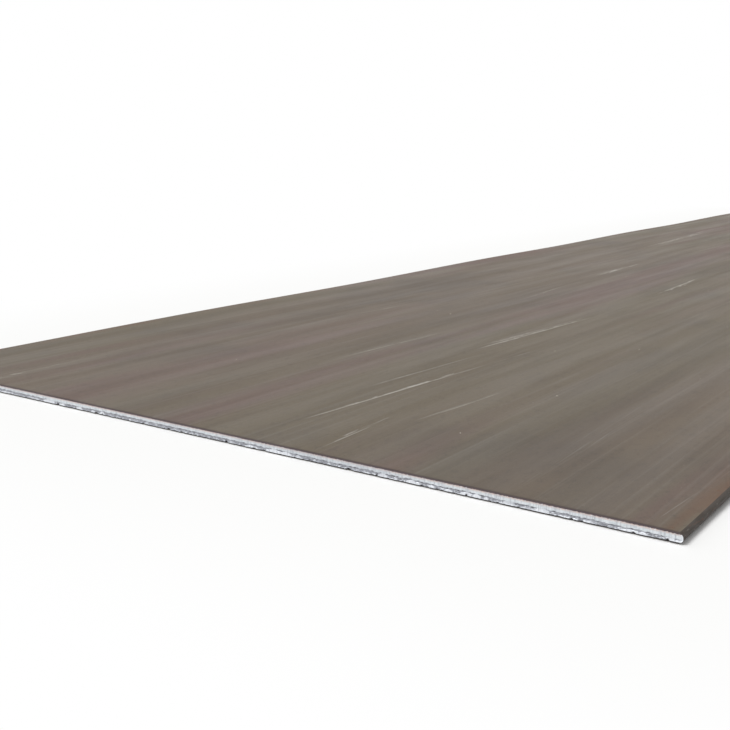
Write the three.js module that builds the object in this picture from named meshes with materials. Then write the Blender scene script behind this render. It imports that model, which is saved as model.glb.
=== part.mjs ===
// Hot-rolled steel plate, cut to length from coil.
// Its two long edges are mill edges: left as they came off the rolls, thinned, blunt-nosed and wavy.
// Its two ends are sheared: a rolled-over corner, a smooth land, a torn slope below it and a burr.
// Millimetres. X runs across the plate, Y along the rolling direction and Z up. The origin is at the
// centre of the underside, whose middle lies flat on the ground.

import * as THREE from "three";
import { mergeVertices } from "three/addons/utils/BufferGeometryUtils.js";

// The stock.
const LENGTH = 6000; // over the sheared ends
const WIDTH = 1500; // over the mill edges, where they stand furthest out
const THICKNESS = 12;

// Mill edge, in section: both faces fall towards it and it ends in a blunt nose.
const EDGE_DROP = 1; // thickness lost at the nose
const EDGE_DROP_REACH = 40; // from the nose to where the faces start to fall
const NOSE_DEPTH = 5.5; // from the end of a face to the tip
const NOSE_FULLNESS_ABOVE = 2; // superellipse exponents: 2 is a half round and more is squarer
const NOSE_FULLNESS_BELOW = 2.8;

// Mill edge, from above: it strays in from the full width and back, differently on either side.
const WANDER = 1.5;
const WANDER_PITCH_RIGHT = 2600;
const WANDER_PITCH_LEFT = 1900;

// Edge waves: the rolls stretched the edges more than the middle, so the edges buckle off the ground.
const WAVE_HEIGHT = 3;
const WAVE_REACH = 380; // how far in from the edge a wave dies out
const WAVES_RIGHT = 5; // whole waves, so that both ends stay level
const WAVES_LEFT = 4;

// Sheared end, from the face the blade entered to the face it left.
const ROLLOVER_DEPTH = 1; // the corner that the blade dragged down
const ROLLOVER_REACH = 1.8;
const LAND_DEPTH = 5.4; // rubbed smooth and square by the blade
const BLADE_CLEARANCE = 0.9; // how far the torn slope ends up behind the land
const BURR_DEPTH = 1.1;
const BURR_REACH = 0.5; // how far the burr is pressed out from the slope

// Grid lines that carry the shape.
const STATION_SPACING = 150; // along the plate
const END_STRIP = 10; // from each end to the first station
const WAVE_STEPS = 5;
const EDGE_DROP_STEPS = 4;
const ROLLOVER_STEPS = 4;
const LAND_STEPS = 4;
const LEAST_GAP = 0.01; // lines closer than this become one

const STEEL = new THREE.MeshStandardMaterial({ color: 0x7c736a, roughness: 0.6, metalness: 0.7 });

const HALF_WIDTH = WIDTH / 2;
const HALF_LENGTH = LENGTH / 2;
const LAND_END = ROLLOVER_DEPTH + LAND_DEPTH; // the depth at which the steel tears

// Evenly spaced numbers from one value up to, but not including, another.
function spaced(from, to, steps) {
  return Array.from({ length: steps }, (_, i) => THREE.MathUtils.lerp(from, to, i / steps));
}

// How much is left, from 1 to 0, at a distance from where something is at its fullest.
function fade(distance, reach) {
  return 1 - THREE.MathUtils.smoothstep(distance, 0, reach);
}

// Across the plate: close together over a falling edge, wider over its waves, none on the flat
// middle but one. The last line lies on the nose.
function linesAcross() {
  const dropStart = NOSE_DEPTH + EDGE_DROP_REACH;
  const wave = spaced(WAVE_REACH, dropStart, WAVE_STEPS);
  const drop = spaced(dropStart, NOSE_DEPTH, EDGE_DROP_STEPS);
  const right = [...wave, ...drop, 0].map((inwards) => HALF_WIDTH - inwards);
  return [...right.map((x) => -x).reverse(), 0, ...right];
}

// Along the plate: even stations between the two ends, with one at the middle.
function linesAlong() {
  const reach = HALF_LENGTH - END_STRIP;
  const steps = 2 * Math.ceil(reach / STATION_SPACING);
  return [-HALF_LENGTH, ...spaced(-reach, reach, steps), reach, HALF_LENGTH];
}

// Up the thickness: the two ends are sheared opposite ways up, so the lines are the same from both
// faces.
function linesUp() {
  const turns = spaced(0, Math.PI / 2, ROLLOVER_STEPS);
  const rollover = turns.map((turn) => ROLLOVER_DEPTH * (1 - Math.cos(turn)));
  const fromBelow = [...rollover, ...spaced(ROLLOVER_DEPTH, LAND_END, LAND_STEPS), LAND_END];
  const fromAbove = fromBelow.map((depth) => THICKNESS - depth);
  const lines = [...fromBelow, ...fromAbove].sort((a, b) => a - b);
  return lines.filter((line, i) => i === 0 || line - lines[i - 1] > LEAST_GAP);
}

// How far the nose of a mill edge falls back from its tip, at a height up the thickness.
function noseFallback(height) {
  const fromMiddle = (2 * height) / THICKNESS - 1;
  const fullness = fromMiddle > 0 ? NOSE_FULLNESS_ABOVE : NOSE_FULLNESS_BELOW;
  return NOSE_DEPTH * (1 - (1 - Math.abs(fromMiddle) ** fullness) ** (1 / fullness));
}

// How far a sheared end falls back from its land, at a depth below the face the blade entered.
function shearFallback(depth) {
  const rolled = Math.max(0, 1 - depth / ROLLOVER_DEPTH);
  const rollover = ROLLOVER_REACH * (1 - Math.sqrt(1 - rolled * rolled));
  const torn = Math.max(0, depth - LAND_END) / (THICKNESS - LAND_END);
  return rollover + BLADE_CLEARANCE * Math.sqrt(torn) - BURR_REACH * fade(THICKNESS - depth, BURR_DEPTH);
}

// How far a mill edge has strayed in. Both are out at full width at the middle of the plate.
function wander(side, y) {
  const pitch = side > 0 ? WANDER_PITCH_RIGHT : WANDER_PITCH_LEFT;
  return (WANDER * (1 - Math.cos((2 * Math.PI * y) / pitch))) / 2;
}

// How far the waves of the nearer edge lift the plate off the ground.
function lift(x, y) {
  const waves = x > 0 ? WAVES_RIGHT : WAVES_LEFT;
  const turn = 2 * Math.PI * waves * (y / LENGTH + 1 / 2);
  return (WAVE_HEIGHT * fade(HALF_WIDTH - Math.abs(x), WAVE_REACH) * (1 - Math.cos(turn))) / 2;
}

// Where a point of the square-edged blank ends up.
function rolledAndSheared(blank) {
  const side = Math.sign(blank.x);
  const end = Math.sign(blank.y);
  const onNose = Math.abs(blank.x) === HALF_WIDTH;
  const onEnd = Math.abs(blank.y) === HALF_LENGTH;
  const depth = end < 0 ? THICKNESS - blank.z : blank.z; // the front end was cut from above

  const fromNose = Math.max(0, HALF_WIDTH - NOSE_DEPTH - Math.abs(blank.x));
  const thinned = 1 - (EDGE_DROP / THICKNESS) * fade(fromNose, EDGE_DROP_REACH);
  const narrowed = 1 - wander(side, blank.y) / HALF_WIDTH;
  return new THREE.Vector3(
    (blank.x - (onNose ? side * noseFallback(blank.z) : 0)) * narrowed,
    blank.y - (onEnd ? end * shearFallback(depth) : 0),
    THICKNESS / 2 + (blank.z - THICKNESS / 2) * thinned + lift(blank.x, blank.y),
  );
}

// A unit box, cut into a grid, whose grid lines are moved to their places and then to the shape.
function plateGeometry() {
  const grid = [linesAcross(), linesAlong(), linesUp()];
  const box = new THREE.BoxGeometry(1, 1, 1, ...grid.map((lines) => lines.length - 1));
  const points = box.getAttribute("position");
  const point = new THREE.Vector3();
  for (let i = 0; i < points.count; i++) {
    const shares = point.fromBufferAttribute(points, i).addScalar(1 / 2).toArray();
    const onGrid = grid.map((lines, axis) => lines[Math.round(shares[axis] * (lines.length - 1))]);
    points.setXYZ(i, ...rolledAndSheared(point.fromArray(onGrid)));
  }
  box.deleteAttribute("normal");
  box.deleteAttribute("uv");
  return mergeVertices(box);
}

const plate = new THREE.Mesh(plateGeometry(), STEEL);
plate.name = "steel_plate";

const part = new THREE.Group();
part.name = "steel_plate_stock";
part.add(plate);
export default part;
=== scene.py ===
# Hot-rolled steel plate, cut to length from coil: its finish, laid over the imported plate.
# Metres, in the plate's own frame: X across, Y along the rolling direction, Z up, and the origin at
# the centre of the underside.

import math

import bpy
import numpy as np
from bpy.props import FloatProperty, FloatVectorProperty, IntProperty, PointerProperty
from mathutils import Matrix, Vector


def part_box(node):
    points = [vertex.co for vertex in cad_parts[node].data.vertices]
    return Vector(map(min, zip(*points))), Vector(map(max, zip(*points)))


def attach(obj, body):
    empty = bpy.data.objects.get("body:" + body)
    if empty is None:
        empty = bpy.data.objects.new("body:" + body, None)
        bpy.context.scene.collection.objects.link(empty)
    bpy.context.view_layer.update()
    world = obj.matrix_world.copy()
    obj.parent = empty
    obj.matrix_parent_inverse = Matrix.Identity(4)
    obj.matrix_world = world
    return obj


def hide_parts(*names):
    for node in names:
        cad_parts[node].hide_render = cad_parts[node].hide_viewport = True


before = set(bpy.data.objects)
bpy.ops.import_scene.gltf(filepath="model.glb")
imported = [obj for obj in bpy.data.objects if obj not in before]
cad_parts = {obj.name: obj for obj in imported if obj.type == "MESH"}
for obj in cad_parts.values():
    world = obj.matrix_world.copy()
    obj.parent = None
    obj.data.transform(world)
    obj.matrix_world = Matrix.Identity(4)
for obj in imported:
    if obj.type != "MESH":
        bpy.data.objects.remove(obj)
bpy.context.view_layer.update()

bl_info = {
    "name": "Steel Plate",
    "version": (1, 0, 0),
    "blender": (4, 5, 0),
    "location": "3D View > Sidebar > Steel Plate",
    "description": "Builds a hot-rolled plate with mill edges, sheared ends and loose grit",
    "category": "Add Mesh",
}

CAD_NODE = "steel_plate"
BODY = "root"
PLATE_LOW, PLATE_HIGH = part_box(CAD_NODE)
MM = 0.001


def linear(srgb_hex):
    """The linear colour of an sRGB hex value such as "7D746A"."""
    channels = [int(srgb_hex[i : i + 2], 16) / 255 for i in (0, 2, 4)]
    return [c / 12.92 if c <= 0.04045 else ((c + 0.055) / 1.055) ** 2.4 for c in channels]


def length(name, description, millimetres):
    """A property that holds a length, in metres."""
    return FloatProperty(
        name=name, description=description, default=millimetres * MM, min=0.0, unit="LENGTH", precision=5
    )


def colour(name, description, srgb_hex):
    """A property that holds a colour."""
    return FloatVectorProperty(
        name=name, description=description, default=linear(srgb_hex), subtype="COLOR", min=0.0, max=1.0
    )


def share(name, description, default):
    """A property that holds a number from 0 to 1."""
    return FloatProperty(
        name=name, description=description, default=default, min=0.0, max=1.0, subtype="FACTOR"
    )


# ---------------------------------------------------------------- sizes and colours


class RolledSizes(bpy.types.PropertyGroup):
    """The shape that the rolls left."""

    thickness: length("Thickness", "Thickness of the flat middle", 12)
    edge_drop: length("Edge drop", "Thickness lost at a mill edge", 1)
    edge_drop_reach: length("Edge drop reach", "From the nose to where the faces start to fall", 40)
    nose_depth: length("Nose depth", "From the end of a face to the tip of the mill edge", 5.5)
    nose_above: FloatProperty(name="Nose above", description="Fullness of the nose's upper half", default=2.0)
    nose_below: FloatProperty(name="Nose below", description="Fullness of the nose's lower half", default=2.8)
    wander: length("Wander", "How far a mill edge strays in", 1.5)
    wander_right: length("Wander pitch, right", "Length of one stray of the right edge", 2600)
    wander_left: length("Wander pitch, left", "Length of one stray of the left edge", 1900)
    wave_reach: length("Wave reach", "How far in from the edge a wave dies out", 380)
    waves_right: IntProperty(name="Waves, right", description="Whole waves along the right edge", default=5)
    waves_left: IntProperty(name="Waves, left", description="Whole waves along the left edge", default=4)
    lap_relief: length("Lap relief", "How deep the laps and folds in a mill edge are", 0.35)


class ShearSizes(bpy.types.PropertyGroup):
    """The shape that the shear's blades left."""

    rollover_depth: length("Rollover depth", "The corner that the blade dragged down", 1)
    rollover_reach: length("Rollover reach", "How far in from the end that corner starts", 1.8)
    land_depth: length("Land depth", "Height of the part that the blade rubbed smooth", 5.4)
    stain_depth: length("Stain depth", "How far down the land the dragged scale stained it", 3.8)
    clearance: length("Blade clearance", "How far the torn slope ends up behind the land", 0.9)
    burr_depth: length("Burr depth", "Height of the burr", 1.1)
    burr_reach: length("Burr reach", "How far the burr is pressed out from the slope", 0.5)
    raggedness: length("Raggedness", "How far the tear strays up and down from its line", 1.2)
    tear_grain: length("Tear grain", "Size of the crumbs in the torn steel", 2.2)
    tear_relief: length("Tear relief", "Depth of the crumbs in the torn steel", 0.3)
    crevice_height: length("Crevice height", "Height of the cracks where the tear begins", 1.8)
    crevice_relief: length("Crevice depth", "Depth of the cracks where the tear begins", 0.5)
    rub_spacing: length("Rub spacing", "Mean distance between the wedges that the blade rubbed bright", 21)
    rub_height: length("Rub height", "Height of the tallest rubbed wedge", 7.5)
    drag_spacing: length("Drag line spacing", "Distance between the blade's drag lines", 1.6)
    drag_relief: length("Drag line depth", "Depth of the blade's drag lines", 0.08)
    nick_spacing: length("Nick spacing", "Mean distance between nicks in the burr", 42)
    nick_width: length("Nick width", "Width of the widest nick", 6)
    nick_height: length("Nick height", "Height of the tallest nick", 3.2)
    nick_relief: length("Nick depth", "Depth of a nick behind the torn slope", 1.3)
    column: length("Column width", "Width of a column of the fine mesh", 1.5)


class Colours(bpy.types.PropertyGroup):
    """The colours of the steel and of what lies on it."""

    scale_brown: colour("Mill scale, brown", "The main tint of the mill scale", "6B6054")
    scale_olive: colour("Mill scale, olive", "The greener streaks of the mill scale", "6A6153")
    scale_pink: colour("Mill scale, pink", "The redder streaks of the mill scale", "6C5C55")
    scale_slate: colour("Mill scale, slate", "The thin dark patches of the mill scale", "4B4642")
    scuff: colour("Scuff", "Scale that another plate has scraped pale", "A8A39B")
    rust: colour("Rust", "Light rust in the mill scale", "6B4635")
    # Darker than the top face: partly the thicker scale of a mill edge, partly painted shade.
    edge_scale_and_shade: colour("Edge scale", "Mill scale on the mill edges", "443D37")
    land: colour("Land", "Steel that the blade rubbed", "D6DDE1")
    land_top: colour("Land, top", "The top of the land, stained by the scale dragged over it", "CBB3A9")
    land_bright: colour("Land, bright", "Steel that the blade rubbed hardest", "E4E7EC")
    tear: colour("Tear", "Torn steel", "A8ABB3")
    # Painted shade: the torn steel darkened in its hollows, more where the crumbs sink deeper.
    tear_hollow_shade: colour("Tear, dark", "The hollows of the torn steel", "727276")
    # Painted shade in the cracks where the tear begins. The same colour also draws random dark flecks in the
    # tear.
    crack: colour("Crack", "The cracks where the tear begins", "56535A")
    nick: colour("Nick", "The shadow in a nick", "2C292B")
    rollover: colour("Rollover", "Scale stretched round the rolled-over corner", "3C2E30")
    grit: colour("Grit", "Pale grit", "D8D3C8")


class GritSettings(bpy.types.PropertyGroup):
    """The grit that lies on the plate."""

    density: FloatProperty(name="Density", description="Grains on a square metre", default=14.0, min=0.0)
    smallest: length("Smallest grain", "Width of the smallest grain", 0.8)
    largest: length("Largest grain", "Width of the largest grain", 3)
    flatness: share("Flatness", "Height of a grain as a share of its width", 0.5)
    highest: length("Highest", "Above this height the grains have rolled off the waves", 13.5)
    seed: IntProperty(name="Seed", description="Another number scatters the grains anew", default=4, min=0)


class StageSettings(bpy.types.PropertyGroup):
    """The floor, the light and the camera."""

    floor: colour("Floor", "The pale floor", "F9F9F8")
    azimuth: FloatProperty(
        name="Azimuth", description="Heading of the view, from +Y towards -X", default=math.radians(34.3),
        subtype="ANGLE",
    )
    elevation: FloatProperty(
        name="Elevation", description="How far the view looks down", default=math.radians(12.2),
        subtype="ANGLE",
    )
    roll: FloatProperty(
        name="Roll", description="How far the camera leans clockwise", default=math.radians(0.6),
        subtype="ANGLE",
    )
    lens: FloatProperty(name="Lens", description="Focal length in millimetres", default=52.1)
    stand_right: length("Stand right", "From the near right corner to the camera, to the right", 337)
    stand_off: length("Stand off", "From the near right corner to the camera, away from the plate", 1140)
    stand_above: length("Stand above", "From the top face up to the camera", 437)


# ---------------------------------------------------------------- nodes


def add(tree, kind, inputs=None, out=0, **settings):
    """Adds a node with its settings, feeds its inputs with values or sockets, and gives an output."""
    node = tree.nodes.new(kind)
    for name, value in settings.items():
        setattr(node, name, value)
    for key, value in (inputs or {}).items():
        if isinstance(value, bpy.types.NodeSocket):
            tree.links.new(value, node.inputs[key])
        else:
            node.inputs[key].default_value = value
    return None if out is None else node.outputs[out]


MATH = "ShaderNodeMath"
NOISE = "ShaderNodeTexNoise"
RANGE = "ShaderNodeMapRange"
XYZ = "ShaderNodeCombineXYZ"
MIX = "ShaderNodeMix"
MIX_A, MIX_B, MIX_RESULT = 6, 7, 2  # a colour Mix node's own colour sockets
SMOOTH = {"interpolation_type": "SMOOTHSTEP"}  # a Map Range that eases in and out
FALLING = {"To Min": 1.0, "To Max": 0.0}  # a Map Range that runs down from 1 to 0


def new_tree(name, inputs):
    """A tree that works on a mesh, with a named input for each size, and the sockets that hold them."""
    tree = bpy.data.node_groups.new(name, "GeometryNodeTree")
    tree.interface.new_socket("Geometry", in_out="OUTPUT", socket_type="NodeSocketGeometry")
    for label, kind in {"Geometry": "NodeSocketGeometry", **inputs}.items():
        tree.interface.new_socket(label, in_out="INPUT", socket_type=kind)
    return tree, tree.nodes.new("NodeGroupInput").outputs


def run_tree(obj, tree, values):
    """Runs a tree on an object and keeps the result as the object's own mesh."""
    modifier = obj.modifiers.new(tree.name, "NODES")
    modifier.node_group = tree
    sockets = {item.name: item.identifier for item in tree.interface.items_tree if item.in_out == "INPUT"}
    for name, value in values.items():
        modifier[sockets[name]] = value
    depsgraph = bpy.context.evaluated_depsgraph_get()
    blank, made = obj.data, bpy.data.meshes.new_from_object(
        obj.evaluated_get(depsgraph), preserve_all_data_layers=True, depsgraph=depsgraph
    )
    obj.modifiers.remove(modifier)
    obj.data = made
    made.name = obj.name
    bpy.data.meshes.remove(blank)


# ---------------------------------------------------------------- the plate's mesh

STATION = 20 * MM  # along the plate
CROWDING = 20 * MM  # the last columns are drawn in over this much, so that they follow the nose
ROLLOVER_STEPS = 4
MIDDLE_STEPS = 6
WAVE_STEPS = 9
DROP_STEPS = 5
WELD = MM / 1000  # points closer than this are one
SHARP_ANGLE = math.radians(50)  # edges that turn by more than this stay crisp


def places_across(sizes, shear):
    """Fine columns for the sheared ends, and the few of them that go on along the plate."""
    half = PLATE_HIGH.x
    fine = np.linspace(-half, half, 2 * round(half / shear.column) + 1)
    from_edge = np.concatenate([
        np.linspace(half, sizes.wave_reach, MIDDLE_STEPS + 1),
        np.linspace(sizes.wave_reach, sizes.edge_drop_reach, WAVE_STEPS + 1),
        np.linspace(sizes.edge_drop_reach, 0, DROP_STEPS + 1),
        [shear.column],
    ])
    wanted = np.concatenate([from_edge - half, half - from_edge])
    kept = np.unique(np.abs(fine[:, None] - wanted).argmin(axis=0))
    return fine, fine[kept]


def places_along():
    """Stations from end to end."""
    return np.linspace(PLATE_LOW.y, PLATE_HIGH.y, 2 * round(PLATE_HIGH.y / STATION) + 1)


def places_up(sizes, shear):
    """Rows up the thickness, close together at both faces for the rolled-over corners."""
    turns = np.linspace(0, math.pi / 2, ROLLOVER_STEPS + 1)
    rollover = shear.rollover_depth * (1 - np.cos(turns))
    rows = round((sizes.thickness - 2 * shear.rollover_depth) / (shear.column / 2))
    middle = np.linspace(rollover[-1], sizes.thickness - rollover[-1], rows + 1)
    return np.concatenate([rollover[:-1], middle, sizes.thickness - rollover[-2::-1]])


def flat_patch(xs, ys, zs, outwards):
    """One flat side of the blank: its points, and faces that look along +1 or -1 of the fixed axis."""
    grid = np.stack(np.meshgrid(xs, ys, zs, indexing="ij"), axis=-1)
    fixed = [len(xs), len(ys), len(zs)].index(1)
    numbers = np.arange(grid[..., 0].size).reshape(grid.shape[:3]).squeeze(axis=fixed)
    corners = [numbers[:-1, :-1], numbers[1:, :-1], numbers[1:, 1:], numbers[:-1, 1:]]
    faces = np.stack(corners, axis=-1).reshape(-1, 4)
    looks = -1 if fixed == 1 else 1  # which way the corners above run round
    return grid.reshape(-1, 3), (faces if looks == outwards else faces[:, ::-1]).tolist()


def fan_patch(fine, coarse, y_end, y_next, z, outwards):
    """Joins the fine columns at an end to the few columns of the next station with fans of triangles."""
    points = [(x, y_end, z) for x in fine] + [(x, y_next, z) for x in coarse]
    faces = []
    ends = np.searchsorted(fine, coarse)
    for i, (first, last) in enumerate(zip(ends[:-1], ends[1:])):
        left, right, halfway = len(fine) + i, len(fine) + i + 1, (first + last) // 2
        faces += [(at, at + 1, left) for at in range(first, halfway)]
        faces += [(at, at + 1, right) for at in range(halfway, last)]
        faces.append((halfway, right, left))
    turns_left = (y_next > y_end) == (outwards > 0)
    return np.array(points), [face if turns_left else face[::-1] for face in faces]


def blank_plate(sizes, shear):
    """The square-edged plate as one closed mesh: its points and faces."""
    fine, coarse = places_across(sizes, shear)
    along, up = places_along(), places_up(sizes, shear)
    patches = [flat_patch(fine, along[:1], up, -1), flat_patch(fine, along[-1:], up, 1)]
    patches += [flat_patch(coarse[:1], along, up, -1), flat_patch(coarse[-1:], along, up, 1)]
    for z, outwards in ((up[:1], -1), (up[-1:], 1)):
        patches.append(flat_patch(coarse, along[1:-1], z, outwards))
        patches.append(fan_patch(fine, coarse, along[0], along[1], z[0], outwards))
        patches.append(fan_patch(fine, coarse, along[-1], along[-2], z[0], outwards))
    return welded(patches)


def welded(patches):
    """Joins patches into one mesh, with one point where several meet."""
    starts = np.cumsum([0] + [len(points) for points, _ in patches])
    loose = np.concatenate([points for points, _ in patches])
    _, first, number = np.unique(np.round(loose / WELD), axis=0, return_index=True, return_inverse=True)
    number = number.ravel()
    faces = [[number[i + start] for i in face] for start, (_, some) in zip(starts, patches) for face in some]
    return loose[first], faces


def fade(distance, reach):
    """How much is left, from 1 to 0, at a distance from where something is at its fullest."""
    gone = np.clip(distance / reach, 0, 1)
    return 1 - gone * gone * (3 - 2 * gone)


def rolled(blank, sizes):
    """Where the rolls leave the points of the blank: thinned and blunt at the mill edges, and wavy."""
    x, y, z = blank.T
    side, half = np.sign(x), PLATE_HIGH.x
    from_middle = np.clip(2 * z / sizes.thickness - 1, -1, 1)
    fullness = np.where(from_middle > 0, sizes.nose_above, sizes.nose_below)
    nose = sizes.nose_depth * (1 - (1 - np.abs(from_middle) ** fullness) ** (1 / fullness))
    x = x - side * nose * np.clip(1 - (half - np.abs(x)) / CROWDING, 0, 1)

    from_nose = np.maximum(0, half - sizes.nose_depth - np.abs(x))
    thinned = 1 - sizes.edge_drop / sizes.thickness * fade(from_nose, sizes.edge_drop_reach)
    waves = np.where(side > 0, sizes.waves_right, sizes.waves_left)
    wave_height = PLATE_HIGH.z - sizes.thickness
    swell = (1 - np.cos(2 * math.pi * waves * (y / (2 * PLATE_HIGH.y) + 0.5))) / 2
    lift = wave_height * fade(half - np.abs(x), sizes.wave_reach) * swell
    pitch = np.where(side > 0, sizes.wander_right, sizes.wander_left)
    wander = sizes.wander * (1 - np.cos(2 * math.pi * y / pitch)) / 2
    middle = sizes.thickness / 2
    return np.stack([x * (1 - wander / half), y, middle + (z - middle) * thinned + lift], axis=-1)


def store(mesh, name, values):
    """Keeps a number for each point, for the trees and the materials to read."""
    mesh.attributes.new(name, "FLOAT", "POINT").data.foreach_set("value", values.astype(np.float32))


def rolled_mesh(sizes, shear):
    """The rolled plate with square ends, with the attributes that the relief needs."""
    blank, faces = blank_plate(sizes, shear)
    mesh = bpy.data.meshes.new("steel_plate_blank")
    mesh.from_pydata(rolled(blank, sizes).tolist(), [], faces)
    end = np.where(np.isclose(np.abs(blank[:, 1]), PLATE_HIGH.y), np.sign(blank[:, 1]), 0)
    edge = np.where(np.isclose(np.abs(blank[:, 0]), PLATE_HIGH.x), np.sign(blank[:, 0]), 0)
    store(mesh, "end_side", end)
    store(mesh, "edge_side", edge)
    store(mesh, "from_edge", PLATE_HIGH.x - np.abs(blank[:, 0]))
    store(mesh, "cut_depth", np.where(end < 0, sizes.thickness - blank[:, 2], blank[:, 2]))
    return mesh


# ---------------------------------------------------------------- relief trees

SHEAR_INPUTS = {
    "Rollover Depth": "rollover_depth",
    "Rollover Reach": "rollover_reach",
    "Land Depth": "land_depth",
    "Blade Clearance": "clearance",
    "Burr Depth": "burr_depth",
    "Burr Reach": "burr_reach",
    "Raggedness": "raggedness",
    "Tear Grain": "tear_grain",
    "Tear Relief": "tear_relief",
    "Crevice Height": "crevice_height",
    "Crevice Depth": "crevice_relief",
    "Rub Spacing": "rub_spacing",
    "Rub Height": "rub_height",
    "Drag Line Spacing": "drag_spacing",
    "Drag Line Depth": "drag_relief",
    "Nick Spacing": "nick_spacing",
    "Nick Width": "nick_width",
    "Nick Height": "nick_height",
    "Nick Depth": "nick_relief",
}
STRAIGHT_DOWN = 1.0  # metres: a patch so tall that its pattern is the same from top to bottom
SITE_SHIFT = 80.0  # cells; another number draws other sites
NARROWEST, WIDEST = 0.12, 0.6  # half of a wedge's foot, as shares of the width that it is given
RUB_WEDGE = {"steepness": 1.7, "soft": 0.8 * MM}
NICK_WEDGE = {"steepness": 1.3, "soft": 0.5 * MM}
BROAD_RUB = 1.6  # how much wider and further apart the broad wedges are
SPOTS_FULL, SPOTS_GONE = 2 * MM, 4 * MM  # above the underside
TEAR_EDGE = 0.6 * MM  # the tear roughens from nothing over this height
CRACK_CORE, CRACK_RIM = 0.2, 0.5  # from a crack's middle, as shares of its height
WHOLE_FACE = 0.9999  # less than 1 only for rounding


def sheared_ends_tree():
    """Moves the points of both ends back to the shape that a shear leaves, crumb by crumb."""
    kinds = dict.fromkeys(("Thickness", *SHEAR_INPUTS), "NodeSocketFloat")
    tree, size = new_tree("sheared_ends", {**kinds, "Material": "NodeSocketMaterial"})
    side = add(tree, "GeometryNodeInputNamedAttribute", {"Name": "end_side"}, data_type="FLOAT")
    depth = add(tree, "GeometryNodeInputNamedAttribute", {"Name": "cut_depth"}, data_type="FLOAT")
    place = add(tree, "ShaderNodeSeparateXYZ", {0: add(tree, "GeometryNodeInputPosition")})
    across = add(tree, MATH, {0: place, 1: side}, operation="ADD")  # so that the two ends differ
    above_floor = add(tree, MATH, {0: size["Thickness"], 1: depth}, operation="SUBTRACT")
    land_end = add(tree, MATH, {0: size["Rollover Depth"], 1: size["Land Depth"]}, operation="ADD")

    def pattern(wide, tall, low, high, detail=3.0, least=0.0, most=1.0, seed=0.0):
        """Noise over the cut face in patches so wide and so tall, between two levels of it."""
        u = add(tree, MATH, {0: across, 1: wide}, operation="DIVIDE")
        v = add(tree, MATH, {0: depth, 1: tall}, operation="DIVIDE")
        where = add(tree, XYZ, {"X": u, "Y": v, "Z": add(tree, MATH, {0: side, 1: seed}, operation="ADD")})
        noise = add(tree, NOISE, {"Vector": where, "Scale": 1.0, "Detail": detail, "Roughness": 0.6})
        levels = {"Value": noise, "From Min": low, "From Max": high, "To Min": least, "To Max": most}
        return add(tree, RANGE, levels, **SMOOTH)

    def sites(spacing):
        """Random places along the cut: how far the nearest is, and two random numbers that belong to it."""
        along = add(tree, MATH, {0: across, 1: spacing}, operation="DIVIDE")
        where = {"W": add(tree, MATH, {0: along, 1: SITE_SHIFT}, operation="ADD"), "Scale": 1.0}
        gap = add(tree, "ShaderNodeTexVoronoi", where, voronoi_dimensions="1D")
        luck = add(tree, "ShaderNodeTexVoronoi", where, out="Color", voronoi_dimensions="1D")
        return (
            add(tree, MATH, {0: gap, 1: spacing}, operation="MULTIPLY"),
            add(tree, "ShaderNodeSeparateXYZ", {0: luck}, out="X"),
            add(tree, "ShaderNodeSeparateXYZ", {0: luck}, out="Y"),
        )

    def wedge(spacing, width, height, steepness, soft):
        """Marks that stand on the lower edge of the cut and narrow upwards: 1 inside, 0 outside."""
        away, wide, tall = sites(spacing)
        half_width = add(tree, RANGE, {"Value": wide, "To Min": NARROWEST, "To Max": WIDEST})
        half_width = add(tree, MATH, {0: half_width, 1: width}, operation="MULTIPLY")
        top = add(tree, MATH, {0: height, 1: tall}, operation="MULTIPLY")
        taper = {"Value": above_floor, "From Max": top, "To Min": steepness, "To Max": 0.0}
        taper = add(tree, RANGE, taper)
        taper = add(tree, MATH, {0: taper, 1: 1.0}, operation="MINIMUM")
        left = add(tree, MATH, {0: half_width, 1: taper}, operation="MULTIPLY")
        left = add(tree, MATH, {0: left, 1: away}, operation="SUBTRACT")
        fray = pattern(3 * MM, 3 * MM, 0.2, 0.8, detail=4.0, least=-soft, most=soft)
        left = add(tree, MATH, {0: left, 1: fray}, operation="ADD")
        return add(tree, RANGE, {"Value": left, "From Max": soft}, **SMOOTH)

    # The tear strays up and down, but not at the rollover or at the burr.
    below_roll = add(tree, RANGE, {"Value": depth, "From Min": size["Rollover Depth"], "From Max": land_end})
    above_burr = add(tree, RANGE, {"Value": above_floor, "From Max": size["Burr Depth"]})
    window = add(tree, MATH, {0: below_roll, 1: above_burr}, operation="MULTIPLY")
    stray = pattern(6 * MM, 9 * MM, 0.3, 0.7, detail=4.0, least=-0.8, most=0.8)
    drift = pattern(200 * MM, STRAIGHT_DOWN, 0.3, 0.7, detail=2.0, least=-1.2, most=0.4)
    stray = add(tree, MATH, {0: stray, 1: drift}, operation="ADD")
    stray = add(tree, MATH, {0: stray, 1: size["Raggedness"]}, operation="MULTIPLY")
    strayed = add(tree, MATH, {0: stray, 1: window, 2: depth}, operation="MULTIPLY_ADD")

    # Rolled-over corner: a quarter of an ellipse.
    rolled_share = add(tree, RANGE, {"Value": depth, "From Max": size["Rollover Depth"], **FALLING})
    squared = add(tree, MATH, {0: rolled_share, 1: rolled_share}, operation="MULTIPLY")
    left = add(tree, MATH, {0: 1.0, 1: squared}, operation="SUBTRACT")
    left = add(tree, MATH, {0: left}, operation="SQRT")
    turned = add(tree, MATH, {0: 1.0, 1: left}, operation="SUBTRACT")
    rollover = add(tree, MATH, {0: turned, 1: size["Rollover Reach"]}, operation="MULTIPLY")

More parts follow.
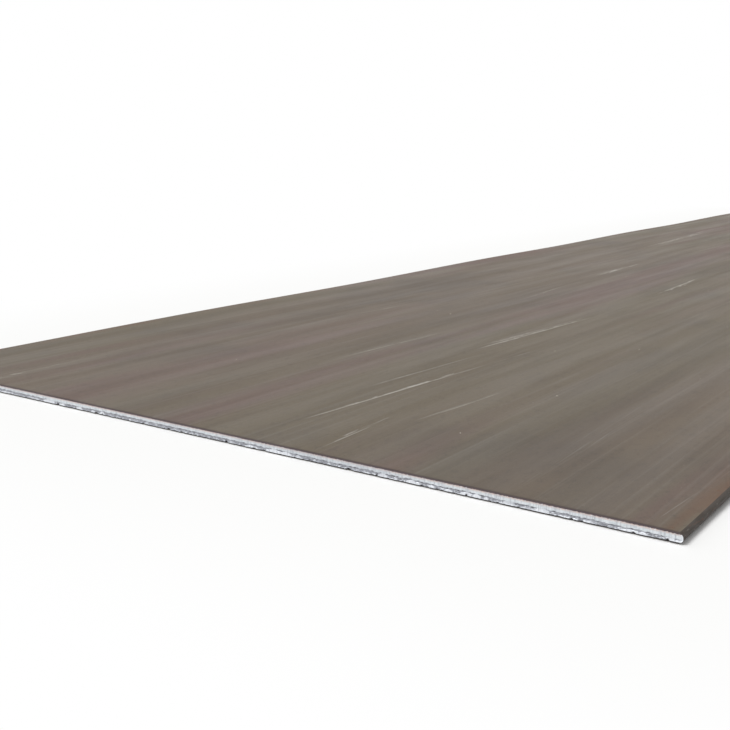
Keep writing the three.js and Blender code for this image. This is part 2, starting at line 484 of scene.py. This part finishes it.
    # Torn slope, with wedges that the blade rubbed flush again.
    slope = add(tree, RANGE, {"Value": strayed, "From Min": land_end, "From Max": size["Thickness"]})
    slope = add(tree, MATH, {0: slope}, operation="SQRT")
    slope = add(tree, MATH, {0: slope, 1: size["Blade Clearance"]}, operation="MULTIPLY")
    below_line = add(tree, MATH, {0: strayed, 1: land_end}, operation="SUBTRACT")
    torn = add(tree, RANGE, {"Value": below_line, "From Max": TEAR_EDGE}, **SMOOTH)
    rubbed = wedge(size["Rub Spacing"], size["Rub Spacing"], size["Rub Height"], **RUB_WEDGE)
    stretch = pattern(350 * MM, STRAIGHT_DOWN, 0.48, 0.56, detail=2.0, seed=7)
    rubbed = add(tree, MATH, {0: rubbed, 1: stretch}, operation="MULTIPLY")
    broad = add(tree, MATH, {0: size["Rub Spacing"], 1: BROAD_RUB}, operation="MULTIPLY")
    broad = wedge(broad, broad, size["Rub Height"], **RUB_WEDGE)
    stretch = pattern(500 * MM, STRAIGHT_DOWN, 0.5, 0.56, detail=2.0, seed=23)
    broad = add(tree, MATH, {0: broad, 1: stretch}, operation="MULTIPLY")
    rubbed = add(tree, MATH, {0: rubbed, 1: broad}, operation="MAXIMUM")
    low = {"Value": above_floor, "From Min": SPOTS_FULL, "From Max": SPOTS_GONE, **FALLING}
    low = add(tree, RANGE, low)
    spots = pattern(3.5 * MM, 3 * MM, 0.53, 0.6, detail=2.0, seed=9)
    spots = add(tree, MATH, {0: spots, 1: low}, operation="MULTIPLY")
    rubbed = add(tree, MATH, {0: rubbed, 1: spots}, operation="MAXIMUM")
    rubbed = add(tree, MATH, {0: rubbed, 1: torn}, operation="MULTIPLY")
    rough = add(tree, MATH, {0: torn, 1: rubbed}, operation="SUBTRACT")
    slope = add(tree, MATH, {0: slope, 1: rough}, operation="MULTIPLY")

    # Crumbs of the tear, cracks where it begins, and lines that the blade dragged down the whole face.
    crumb = pattern(size["Tear Grain"], size["Tear Grain"], 0.3, 0.7, detail=4.0, least=-0.3)
    hollow = add(tree, MATH, {0: crumb, 1: rough}, operation="MULTIPLY")
    crumbs = add(tree, MATH, {0: hollow, 1: size["Tear Relief"]}, operation="MULTIPLY")
    off_crack = add(tree, MATH, {0: below_line, 1: size["Crevice Height"]}, operation="DIVIDE")
    off_crack = add(tree, MATH, {0: off_crack, 1: 0.5}, operation="SUBTRACT")
    off_crack = add(tree, MATH, {0: off_crack}, operation="ABSOLUTE")
    crack = {"Value": off_crack, "From Min": CRACK_CORE, "From Max": CRACK_RIM, **FALLING}
    crack = add(tree, RANGE, crack, **SMOOTH)
    crack = add(tree, MATH, {0: crack, 1: pattern(4 * MM, 30 * MM, 0.48, 0.56)}, operation="MULTIPLY")
    crack = add(tree, MATH, {0: crack, 1: rough}, operation="MULTIPLY")
    cracks = add(tree, MATH, {0: crack, 1: size["Crevice Depth"]}, operation="MULTIPLY")
    drag = pattern(size["Drag Line Spacing"], 14 * MM, 0.3, 0.7, detail=1.0)
    drag = add(tree, MATH, {0: drag, 1: size["Drag Line Depth"]}, operation="MULTIPLY")

    # Nicks, where a chip in the blade bit into the burr.
    nick = wedge(size["Nick Spacing"], size["Nick Width"], size["Nick Height"], **NICK_WEDGE)
    bite = add(tree, MATH, {0: nick, 1: size["Nick Depth"]}, operation="MULTIPLY")

    # Burr: a ragged lip pressed back out at the last of the cut.
    lip = {"Value": above_floor, "From Max": size["Burr Depth"], **FALLING}
    lip = add(tree, RANGE, lip, **SMOOTH)
    ragged = pattern(4 * MM, 40 * MM, 0.35, 0.6, least=0.2, most=1.3)
    lip = add(tree, MATH, {0: lip, 1: ragged}, operation="MULTIPLY")
    burr = add(tree, MATH, {0: lip, 1: size["Burr Reach"]}, operation="MULTIPLY")

    back = rollover
    for deeper in (slope, crumbs, cracks, drag, bite):
        back = add(tree, MATH, {0: back, 1: deeper}, operation="ADD")
    back = add(tree, MATH, {0: back, 1: burr}, operation="SUBTRACT")
    back = add(tree, MATH, {0: back, 1: 0.0}, operation="MAXIMUM")
    inwards = add(tree, MATH, {0: side, 1: -1.0}, operation="MULTIPLY")
    offset = add(tree, XYZ, {"Y": add(tree, MATH, {0: back, 1: inwards}, operation="MULTIPLY")})

    shape = size["Geometry"]
    found = {"torn": torn, "rubbed": rubbed, "hollow": hollow, "crack": crack, "nick": nick}
    for name, value in found.items():
        kept = {"Geometry": shape, "Name": name, "Value": value}
        shape = add(tree, "GeometryNodeStoreNamedAttribute", kept, data_type="FLOAT", domain="POINT")
    shape = add(tree, "GeometryNodeSetPosition", {"Geometry": shape, "Offset": offset})
    end_tree(tree, shape, side, size["Material"])
    return tree


def end_tree(tree, shape, side, material):
    """Ends a tree: the faces all of whose points are on a side, +1 or -1, get the material."""
    off_side = add(tree, MATH, {0: side}, operation="ABSOLUTE")
    whole = add(tree, "FunctionNodeCompare", {0: off_side, 1: WHOLE_FACE}, operation="GREATER_THAN")
    covered = {"Geometry": shape, "Selection": whole, "Material": material}
    shape = add(tree, "GeometryNodeSetMaterial", covered)
    add(tree, "NodeGroupOutput", {"Geometry": shape}, out=None)


LAP_PATCH = (1.0, 120 * MM, 2 * MM)  # the size of a fold: it goes in straight, and runs along the edge


def mill_edges_tree():
    """Roughens the two mill edges with the folds and laps that free-spreading steel gets."""
    tree, size = new_tree("mill_edges", {"Lap Relief": "NodeSocketFloat", "Material": "NodeSocketMaterial"})
    side = add(tree, "GeometryNodeInputNamedAttribute", {"Name": "edge_side"}, data_type="FLOAT")
    place = {0: add(tree, "GeometryNodeInputPosition"), 1: LAP_PATCH}
    laps = add(tree, "ShaderNodeVectorMath", place, operation="DIVIDE")
    lap = add(tree, NOISE, {"Vector": laps, "Scale": 1.0, "Detail": 2.0})
    lap = add(tree, RANGE, {"Value": lap, "From Min": 0.35, "From Max": 0.65})
    inwards = add(tree, MATH, {0: lap, 1: size["Lap Relief"]}, operation="MULTIPLY")
    inwards = add(tree, MATH, {0: inwards, 1: side}, operation="MULTIPLY")
    offset = add(tree, XYZ, {"X": add(tree, MATH, {0: inwards, 1: -1.0}, operation="MULTIPLY")})
    shape = add(tree, "GeometryNodeSetPosition", {"Geometry": size["Geometry"], "Offset": offset})
    end_tree(tree, shape, side, size["Material"])
    return tree


GRIT_INPUTS = {
    "Grains per Square Metre": "density",
    "Smallest": "smallest",
    "Largest": "largest",
    "Flatness": "flatness",
    "Highest": "highest",
    "Seed": "seed",
}
LEVEL = 0.9  # the least Z of a face's normal for grains to lie on it
SHORTEST, LONGEST = 0.6, 1.5  # a grain's length, as shares of its width


def grit_tree():
    """Scatters grains over the faces that look up. A grain is a squashed, turned ball of few faces."""
    kinds = {label: "NodeSocketInt" if label == "Seed" else "NodeSocketFloat" for label in GRIT_INPUTS}
    tree, size = new_tree("grit", {"Plate": "NodeSocketObject", **kinds, "Material": "NodeSocketMaterial"})
    plate = add(tree, "GeometryNodeObjectInfo", {"Object": size["Plate"]}, out="Geometry")
    normal = add(tree, "ShaderNodeSeparateXYZ", {0: add(tree, "GeometryNodeInputNormal")}, out="Z")
    place = add(tree, "ShaderNodeSeparateXYZ", {0: add(tree, "GeometryNodeInputPosition")}, out="Z")
    looks_up = add(tree, "FunctionNodeCompare", {0: normal, 1: LEVEL}, operation="GREATER_THAN")
    low = add(tree, "FunctionNodeCompare", {0: place, 1: size["Highest"]}, operation="LESS_THAN")
    chosen = add(tree, "FunctionNodeBooleanMath", {0: looks_up, 1: low}, operation="AND")
    scatter = {"Mesh": plate, "Selection": chosen, "Seed": size["Seed"]}
    scatter["Density"] = size["Grains per Square Metre"]
    points = add(tree, "GeometryNodeDistributePointsOnFaces", scatter)
    ball = add(tree, "GeometryNodeMeshIcoSphere", {"Radius": 0.5, "Subdivisions": 2})
    wide = {2: size["Smallest"], 3: size["Largest"], "Seed": size["Seed"]}
    wide = add(tree, "FunctionNodeRandomValue", wide, out=1)
    long = add(tree, "FunctionNodeRandomValue", {2: SHORTEST, 3: LONGEST, "Seed": 1}, out=1)
    long = add(tree, MATH, {0: long, 1: wide}, operation="MULTIPLY")
    tall = add(tree, MATH, {0: wide, 1: size["Flatness"]}, operation="MULTIPLY")
    grain = add(tree, XYZ, {"X": wide, "Y": long, "Z": tall})
    turn = add(tree, "FunctionNodeRandomValue", {3: 2 * math.pi, "Seed": 2}, out=1)
    turn = add(tree, "FunctionNodeEulerToRotation", {0: add(tree, XYZ, {"Z": turn})})
    placed = {"Points": points, "Instance": ball, "Rotation": turn, "Scale": grain}
    grains = add(tree, "GeometryNodeInstanceOnPoints", placed)
    whole = add(tree, "GeometryNodeRealizeInstances", {"Geometry": grains})
    painted = add(tree, "GeometryNodeSetMaterial", {"Geometry": whole, "Material": size["Material"]})
    add(tree, "NodeGroupOutput", {"Geometry": painted}, out=None)
    return tree


# ---------------------------------------------------------------- materials

SCALE_GRAIN = 0.8  # millimetres; the real grain is a tenth of this, and is drawn coarser to show
THROUGH = 1000  # millimetres; so large that a pattern doesn't change in that direction
RUSTY_RIM = 50 * MM  # in from a mill edge
DARK_RIM = 9 * MM  # in from a sheared end
RUB_RIM_FULL, RUB_RIM_GONE = 1 * MM, 2.5 * MM  # in from the side of a sheared end
BARE_METALLIC = 0.75
LAND_ROUGHNESS, TEAR_ROUGHNESS, SKIN_ROUGHNESS = 0.34, 0.55, 0.6


def surface(name, socket_values):
    """A new material, its node tree and the sockets of its Principled shader."""
    material = bpy.data.materials.new(name)
    material.use_nodes = True
    shader = material.node_tree.nodes["Principled BSDF"]
    for socket, value in socket_values.items():
        shader.inputs[socket].default_value = value
    return material, material.node_tree, shader.inputs


def marks(tree, millimetres, low, high, most=1.0, least=0.0, detail=3.0, turn=0.0, seed=0.0):
    """Patches of noise, so large across, along and up, fading in between two levels of the noise."""
    size = [side * MM for side in millimetres]
    mapping = {"Vector": add(tree, "ShaderNodeTexCoord", out="Object"), "Scale": size,
               "Rotation": (0, 0, turn), "Location": [seed * side for side in size]}
    where = add(tree, "ShaderNodeMapping", mapping, vector_type="TEXTURE")
    noise = add(tree, NOISE, {"Vector": where, "Scale": 1.0, "Detail": detail, "Roughness": 0.6})
    levels = {"Value": noise, "From Min": low, "From Max": high, "To Min": least, "To Max": most}
    return add(tree, RANGE, levels, **SMOOTH)


def painted(tree, base, coats):
    """Lays coats over a base colour in order. A coat is how much of it shows, and its colour."""
    colour = (*base, 1.0)
    for shows, coat in coats:
        layers = {0: shows, MIX_A: colour, MIX_B: (*coat, 1.0)}
        colour = add(tree, MIX, layers, out=MIX_RESULT, data_type="RGBA")
    return colour


def finish(tree, shader, colour, roughness, heights):
    """Links a colour and a roughness to the shader, and bumps: each a height pattern and its real height."""
    tree.links.new(colour, shader["Base Color"])
    tree.links.new(roughness, shader["Roughness"])
    normal = None
    for pattern, height in heights:
        bump = {"Height": pattern, "Distance": height, **({"Normal": normal} if normal else {})}
        normal = add(tree, "ShaderNodeBump", bump)
    tree.links.new(normal, shader["Normal"])


def near_side(tree, axis, edge, reach):
    """How near a point is to either side of the plate along an axis: 1 at the side, 0 a reach inside."""
    place = add(tree, "ShaderNodeSeparateXYZ", {0: add(tree, "ShaderNodeTexCoord", out="Object")}, out=axis)
    out = add(tree, MATH, {0: place}, operation="ABSOLUTE")
    nearing = {"Value": out, "From Min": edge - reach, "From Max": edge}
    return add(tree, RANGE, nearing, **SMOOTH)


def scratches(tree, turn, seed):
    """A few groups of long, thin, nearly parallel scratches at a small angle to the rolling direction.
    They skip, and in the heart of a group the scale is scraped off in dabs."""
    turn = math.radians(turn)
    group = marks(tree, (50, 1600, THROUGH), 0.66, 0.7, turn=turn, seed=seed)
    line = marks(tree, (3.5, 1400, THROUGH), 0.5, 0.6, turn=turn, seed=seed + 1)
    skips = marks(tree, (5, 70, THROUGH), 0.4, 0.5, least=0.25, turn=turn, seed=seed + 2)
    heart = marks(tree, (50, 1600, THROUGH), 0.69, 0.72, turn=turn, seed=seed)
    dabs = marks(tree, (5, 60, THROUGH), 0.53, 0.58, turn=turn, seed=seed + 3)
    line = add(tree, MATH, {0: line, 1: skips}, operation="MULTIPLY")
    dabs = add(tree, MATH, {0: dabs, 1: heart}, operation="MULTIPLY")
    line = add(tree, MATH, {0: line, 1: group}, operation="MULTIPLY")
    return add(tree, MATH, {0: line, 1: dabs}, operation="MAXIMUM")


def mill_scale(colours):
    """Mill scale: the oxide that grows on steel in the hot mill and is rolled flat with it.
    It gives a dull brown-grey skin in long soft streaks, with a little rust, and is scraped pale
    where plates slid over it."""
    material, tree, shader = surface("mill_scale_as_rolled", {"Metallic": 0.1, "Specular IOR Level": 0.12})
    scratched = {0: scratches(tree, 2.5, 3), 1: scratches(tree, -4.0, 8)}
    scratched = add(tree, MATH, scratched, operation="MAXIMUM")
    edge = near_side(tree, "X", PLATE_HIGH.x, RUSTY_RIM)
    blotches = marks(tree, (20, 300, 100), 0.4, 0.65, most=0.45, seed=2)
    edge = add(tree, MATH, {0: edge, 1: blotches}, operation="MULTIPLY")
    shorn = near_side(tree, "Y", PLATE_HIGH.y, DARK_RIM)
    freckles = marks(tree, (5, 7, THROUGH), 0.64, 0.7, most=0.7, seed=12)
    rusty = marks(tree, (200, 500, THROUGH), 0.5, 0.62, seed=14)
    freckles = add(tree, MATH, {0: freckles, 1: rusty}, operation="MULTIPLY")
    colour = painted(tree, colours.scale_brown, (
        (marks(tree, (300, 4500, THROUGH), 0.42, 0.6), colours.scale_olive),
        (marks(tree, (200, 3500, THROUGH), 0.5, 0.66, seed=7), colours.scale_pink),
        (marks(tree, (300, 2400, THROUGH), 0.5, 0.72, most=0.35, detail=4.0, seed=3), colours.scale_slate),
        (marks(tree, (60, 700, THROUGH), 0.45, 0.7, most=0.16, detail=5.0, seed=9), colours.scale_slate),
        (marks(tree, (350, 600, THROUGH), 0.48, 0.68, most=0.35, detail=4.0, seed=21), colours.scale_slate),
        (marks(tree, (14, 2500, THROUGH), 0.5, 0.72, most=0.15, seed=4), colours.scale_slate),
        (marks(tree, (8, 1800, THROUGH), 0.52, 0.75, most=0.1, seed=6), colours.scuff),
        (marks(tree, (12, 20, THROUGH), 0.52, 0.68, most=0.22, seed=16), colours.scale_slate),
        (marks(tree, (3, 5, THROUGH), 0.54, 0.66, most=0.3, seed=1), colours.scale_slate),
        (marks(tree, (3, 4, THROUGH), 0.66, 0.72, most=0.3, seed=18), colours.scuff),
        (edge, colours.rust),
        (freckles, colours.rust),
        (scratched, colours.scuff),
        (shorn, colours.rollover),
    ))
    roughness = marks(tree, (60, 900, THROUGH), 0.3, 0.7, least=0.49, most=0.63)
    grain = marks(tree, (SCALE_GRAIN, SCALE_GRAIN, SCALE_GRAIN), 0.3, 0.7, detail=2.0)
    rolling = marks(tree, (4, 300, THROUGH), 0.3, 0.7)
    swells = marks(tree, (120, 600, THROUGH), 0.3, 0.7, detail=1.0)
    heights = ((swells, 0.5 * MM), (rolling, 0.03 * MM), (grain, 0.05 * MM))
    finish(tree, shader, colour, roughness, heights)
    return material


def mill_edge_scale(colours):
    """Mill scale on an edge that no roll touched: rougher and darker, in folds along it, rusting first. The
    darker colour is partly the thicker scale and partly painted shade, as on a side left in shadow.
    """
    material, tree, shader = surface("mill_scale_on_free_edge", {"Metallic": 0.1, "Specular IOR Level": 0.3})
    colour = painted(tree, colours.edge_scale_and_shade, (
        (marks(tree, (THROUGH, 200, 1.5), 0.45, 0.65, most=0.7), colours.scale_slate),
        (marks(tree, (THROUGH, 50, 4), 0.56, 0.7, most=0.7, seed=3), colours.rust),
        (marks(tree, (THROUGH, 14, 2), 0.6, 0.75, most=0.4, seed=8), colours.scuff),
    ))
    roughness = marks(tree, (THROUGH, 30, 3), 0.3, 0.7, least=0.6, most=0.8)
    folds = marks(tree, (THROUGH, 60, 1), 0.3, 0.7)
    finish(tree, shader, colour, roughness, ((folds, 0.15 * MM),))
    return material


def sheared_steel(colours, shear):
    """Bare steel, cut cold by a shear: the land is burnished bright by the blade, the tear below it is
    crumbly and grey with bright wedges, and the scale is stretched and cracked round the rolled corner.
    Painted shade darkens the tear's hollows and cracks, and the nicks."""
    material, tree, shader = surface("carbon_steel_cold_sheared", {})
    found = {
        name: add(tree, "ShaderNodeAttribute", out="Fac", attribute_name=name)
        for name in ("cut_depth", "torn", "rubbed", "hollow", "crack", "nick", "from_edge")
    }
    fray = marks(tree, (3, THROUGH, 1.5), 0.35, 0.65, least=0.9, most=1.7, detail=4.0)
    fray = add(tree, MATH, {0: fray, 1: shear.rollover_depth}, operation="MULTIPLY")
    skin = add(tree, MATH, {0: found["cut_depth"], 1: fray}, operation="LESS_THAN")
    rim = {"Value": found["from_edge"], "From Min": RUB_RIM_FULL, "From Max": RUB_RIM_GONE, **FALLING}
    rim = add(tree, RANGE, rim)
    stain_end = shear.rollover_depth + shear.stain_depth
    stain = {"Value": found["cut_depth"], "From Min": shear.rollover_depth, "From Max": stain_end, **FALLING}
    stain = add(tree, RANGE, stain, **SMOOTH)
    facets, glints, flecks = (
        add(tree, MATH, {0: marks(tree, (wide, THROUGH, tall), low, high, most=most, seed=seed), 1: only_on},
            operation="MULTIPLY")
        for wide, tall, low, high, most, seed, only_on in (
            (1.8, 1.4, 0.6, 0.7, 0.8, 6, found["torn"]),
            (2.5, 2.5, 0.5, 0.62, 0.9, 13, stain),
            (2, 1, 0.52, 0.6, 0.7, 11, found["torn"]),
        )
    )
    colour = painted(tree, colours.land, (
        (marks(tree, (10, THROUGH, 4), 0.42, 0.6, most=0.7), colours.land_bright),
        (stain, colours.land_top),
        (glints, colours.land_bright),
        (marks(tree, (14, THROUGH, 3), 0.52, 0.66, most=0.3, seed=2), colours.tear),
        (marks(tree, (400, THROUGH, THROUGH), 0.45, 0.6, most=0.3, seed=9), colours.tear),
        (found["torn"], colours.tear),
        # painted shade: the hollows of the torn steel, darker the deeper they sink
        (found["hollow"], colours.tear_hollow_shade),
        (facets, colours.land),
        (flecks, colours.crack),
        # painted shade: the cracks where the tear begins, darkened where they sink in
        (found["crack"], colours.crack),
        (found["rubbed"], colours.land_bright),
        (marks(tree, (2.4, THROUGH, 20), 0.4, 0.75, most=0.75, detail=4.0, seed=4), colours.tear),
        (rim, colours.land_bright),
        (found["nick"], colours.nick),
        (skin, colours.rollover),
    ))
    bare = add(tree, MATH, {0: 1.0, 1: skin}, operation="SUBTRACT")
    metallic = add(tree, MATH, {0: bare, 1: BARE_METALLIC}, operation="MULTIPLY")
    tree.links.new(metallic, shader["Metallic"])
    roughness = {"Value": found["torn"], "To Min": LAND_ROUGHNESS, "To Max": TEAR_ROUGHNESS}
    roughness = add(tree, RANGE, roughness)
    dull = add(tree, MATH, {0: skin, 1: SKIN_ROUGHNESS}, operation="MULTIPLY")
    roughness = add(tree, MATH, {0: roughness, 1: dull}, operation="MAXIMUM")
    drag = marks(tree, (0.6, THROUGH, 10), 0.3, 0.7)
    crumbs = marks(tree, (0.7, 0.7, 0.7), 0.3, 0.7)
    finish(tree, shader, colour, roughness, ((drag, 0.04 * MM), (crumbs, 0.05 * MM)))
    return material


def pale_grit(colours):
    """Mineral grit and chips off the handling yard: pale, dull grains."""
    material, tree, shader = surface("mineral_grit", {"Specular IOR Level": 0.3})
    colour = painted(tree, colours.grit, ((marks(tree, (30, 30, 30), 0.4, 0.6), colours.scale_brown),))
    roughness = marks(tree, (1, 1, 1), 0.3, 0.7, least=0.7, most=0.95)
    finish(tree, shader, colour, roughness, ((marks(tree, (0.5, 0.5, 0.5), 0.3, 0.7), 0.1 * MM),))
    return material


# ---------------------------------------------------------------- operators


def show(name, mesh):
    """Puts a mesh in the scene as an object at the origin."""
    obj = bpy.data.objects.new(name, mesh)
    bpy.context.scene.collection.objects.link(obj)
    return obj


class STEEL_OT_plate(bpy.types.Operator):
    """Build the plate: rolled, sheared and scaled"""

    bl_idname = "steel.plate"
    bl_label = "Plate"

    def execute(self, context):
        scene = context.scene
        sizes, shear, colours = scene.rolled_sizes, scene.shear_sizes, scene.steel_colours
        mesh = rolled_mesh(sizes, shear)
        mesh.materials.append(mill_scale(colours))
        plate = show("hot_rolled_plate", mesh)
        run_tree(plate, sheared_ends_tree(), {
            **{label: getattr(shear, key) for label, key in SHEAR_INPUTS.items()},
            "Thickness": sizes.thickness,
            "Material": sheared_steel(colours, shear),
        })
        edge_values = {"Lap Relief": sizes.lap_relief, "Material": mill_edge_scale(colours)}
        run_tree(plate, mill_edges_tree(), edge_values)
        plate.data.shade_smooth()
        plate.data.set_sharp_from_angle(angle=SHARP_ANGLE)
        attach(plate, BODY)
        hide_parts(CAD_NODE)
        return {"FINISHED"}


class STEEL_OT_grit(bpy.types.Operator):
    """Scatter pale grit over the plate"""

    bl_idname = "steel.grit"
    bl_label = "Grit"

    def execute(self, context):
        settings = context.scene.grit_settings
        grit = show("loose_grit", bpy.data.meshes.new("loose_grit"))
        run_tree(grit, grit_tree(), {
            **{label: getattr(settings, key) for label, key in GRIT_INPUTS.items()},
            "Plate": bpy.data.objects["hot_rolled_plate"],
            "Material": pale_grit(context.scene.steel_colours),
        })
        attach(grit, BODY)
        return {"FINISHED"}


class STEEL_OT_stage(bpy.types.Operator):
    """Set up the floor, the light and the camera"""

    bl_idname = "steel.stage"
    bl_label = "Stage"

    def execute(self, context):
        stage = context.scene.steel_stage
        lay_floor(stage)
        light_world(context.scene)
        shine_sun()
        stand_camera(context.scene, stage)
        context.scene.view_settings.view_transform = "Standard"
        return {"FINISHED"}


FLOOR_HALF = 120.0
FLOOR_GAP = 2.4 * MM  # a plate bridges the dips of a real floor, and this dark line shows under it
FADE_FROM, FADE_TO = 0.02, 0.6  # from the plate to where the floor has become part of the backdrop
SUN_ELEVATION = math.radians(52)
SUN_HEADING = math.radians(-32)  # from straight in front of the sheared end, towards the left
SUN_SPREAD = math.radians(28)
SUN_STRENGTH = 2.1
SKY_FILL = 0.5
SENSOR_WIDTH = 36.0  # millimetres


def lay_floor(stage):
    """A pale floor that fades into the white backdrop far away and keeps the plate's shadow."""
    mesh = bpy.data.meshes.new("floor")
    corners = [(x, y, -FLOOR_GAP) for x, y in ((-1, -1), (1, -1), (1, 1), (-1, 1))]
    mesh.from_pydata([(x * FLOOR_HALF, y * FLOOR_HALF, z) for x, y, z in corners], [], [(0, 1, 2, 3)])
    floor = show("floor", mesh)
    material, tree, shader = surface("pale_floor", {"Base Color": (*stage.floor, 1.0), "Roughness": 0.9,
                                                    "Specular IOR Level": 0.0})
    outside = []
    place = add(tree, "ShaderNodeTexCoord", out="Object")
    for axis, side in (("X", PLATE_HIGH.x), ("Y", PLATE_HIGH.y)):
        out = add(tree, "ShaderNodeSeparateXYZ", {0: place}, out=axis)
        out = add(tree, MATH, {0: out}, operation="ABSOLUTE")
        out = add(tree, MATH, {0: out, 1: side}, operation="SUBTRACT")
        outside.append(add(tree, MATH, {0: out, 1: 0.0}, operation="MAXIMUM"))
    away = add(tree, XYZ, {0: outside[0], 1: outside[1]})
    away = add(tree, "ShaderNodeVectorMath", {0: away}, out="Value", operation="LENGTH")
    far = add(tree, RANGE, {"Value": away, "From Min": FADE_FROM, "From Max": FADE_TO}, **SMOOTH)
    glow = add(tree, "ShaderNodeEmission", {"Strength": 1.0})
    near = tree.nodes["Principled BSDF"].outputs[0]
    mixed = add(tree, "ShaderNodeMixShader", {0: far, 1: near, 2: glow})
    tree.links.new(mixed, tree.nodes["Material Output"].inputs["Surface"])
    mesh.materials.append(material)


def light_world(scene):
    """A white backdrop for the camera and for reflections, over a softer fill light."""
    scene.world = bpy.data.worlds.new("studio")
    scene.world.use_nodes = True
    tree = scene.world.node_tree
    tree.nodes.clear()
    camera = add(tree, "ShaderNodeLightPath", out="Is Camera Ray")
    glossy = add(tree, "ShaderNodeLightPath", out="Is Glossy Ray")
    through = add(tree, "ShaderNodeLightPath", out="Is Transmission Ray")
    seen = add(tree, MATH, {0: camera, 1: glossy}, operation="MAXIMUM")
    seen = add(tree, MATH, {0: seen, 1: through}, operation="MAXIMUM")
    strength = add(tree, RANGE, {"Value": seen, "To Min": SKY_FILL, "To Max": 1.0})
    white = add(tree, "ShaderNodeBackground", {"Color": (1, 1, 1, 1), "Strength": strength})
    add(tree, "ShaderNodeOutputWorld", {"Surface": white}, out=None)


def shine_sun():
    """A broad soft key light from the front left, high up."""
    sun = bpy.data.lights.new("key_light", "SUN")
    sun.energy, sun.angle = SUN_STRENGTH, SUN_SPREAD
    lamp = bpy.data.objects.new("key_light", sun)
    flat = math.cos(SUN_ELEVATION)
    towards = Vector((math.sin(SUN_HEADING) * flat, -math.cos(SUN_HEADING) * flat, math.sin(SUN_ELEVATION)))
    lamp.rotation_euler = towards.to_track_quat("Z", "Y").to_euler()
    bpy.context.scene.collection.objects.link(lamp)


def stand_camera(scene, stage):
    """Stands the camera off the near right corner, above the top face."""
    data = bpy.data.cameras.new("camera")
    data.lens, data.sensor_width, data.clip_end = stage.lens, SENSOR_WIDTH, 4 * FLOOR_HALF
    camera = bpy.data.objects.new("camera", data)
    flat = math.cos(stage.elevation)
    heading = (-math.sin(stage.azimuth) * flat, math.cos(stage.azimuth) * flat)
    ahead = Vector((*heading, -math.sin(stage.elevation)))
    turn = ahead.to_track_quat("-Z", "Y").to_matrix() @ Matrix.Rotation(stage.roll, 3, "Z")
    top = scene.rolled_sizes.thickness
    place = Vector((PLATE_HIGH.x + stage.stand_right, PLATE_LOW.y - stage.stand_off, top + stage.stand_above))
    camera.matrix_world = Matrix.LocRotScale(place, turn.to_quaternion(), None)
    scene.collection.objects.link(camera)
    scene.camera = camera


# ---------------------------------------------------------------- panel and registration


class STEEL_PT_panel(bpy.types.Panel):
    """Lists the pieces of the plate"""

    bl_idname = "STEEL_PT_panel"
    bl_label = "Steel Plate"
    bl_space_type = "VIEW_3D"
    bl_region_type = "UI"
    bl_category = "Steel Plate"

    def draw(self, context):
        for operator in OPERATORS:
            self.layout.operator(operator.bl_idname)
        for group in GROUPS:
            box = self.layout.box()
            for name in GROUPS[group].__annotations__:
                box.prop(getattr(context.scene, group), name)


GROUPS = {
    "rolled_sizes": RolledSizes,
    "shear_sizes": ShearSizes,
    "steel_colours": Colours,
    "grit_settings": GritSettings,
    "steel_stage": StageSettings,
}
OPERATORS = (STEEL_OT_plate, STEEL_OT_grit, STEEL_OT_stage)


def register():
    for kind in (*GROUPS.values(), *OPERATORS, STEEL_PT_panel):
        bpy.utils.register_class(kind)
    for name, kind in GROUPS.items():
        setattr(bpy.types.Scene, name, PointerProperty(type=kind))


def unregister():
    for name in GROUPS:
        delattr(bpy.types.Scene, name)
    for kind in (STEEL_PT_panel, *reversed(OPERATORS), *GROUPS.values()):
        bpy.utils.unregister_class(kind)


def main():
    """Builds the dressed plate and its stage."""
    register()
    bpy.ops.steel.plate()
    bpy.ops.steel.grit()
    bpy.ops.steel.stage()


if __name__ == "__main__":
    main()
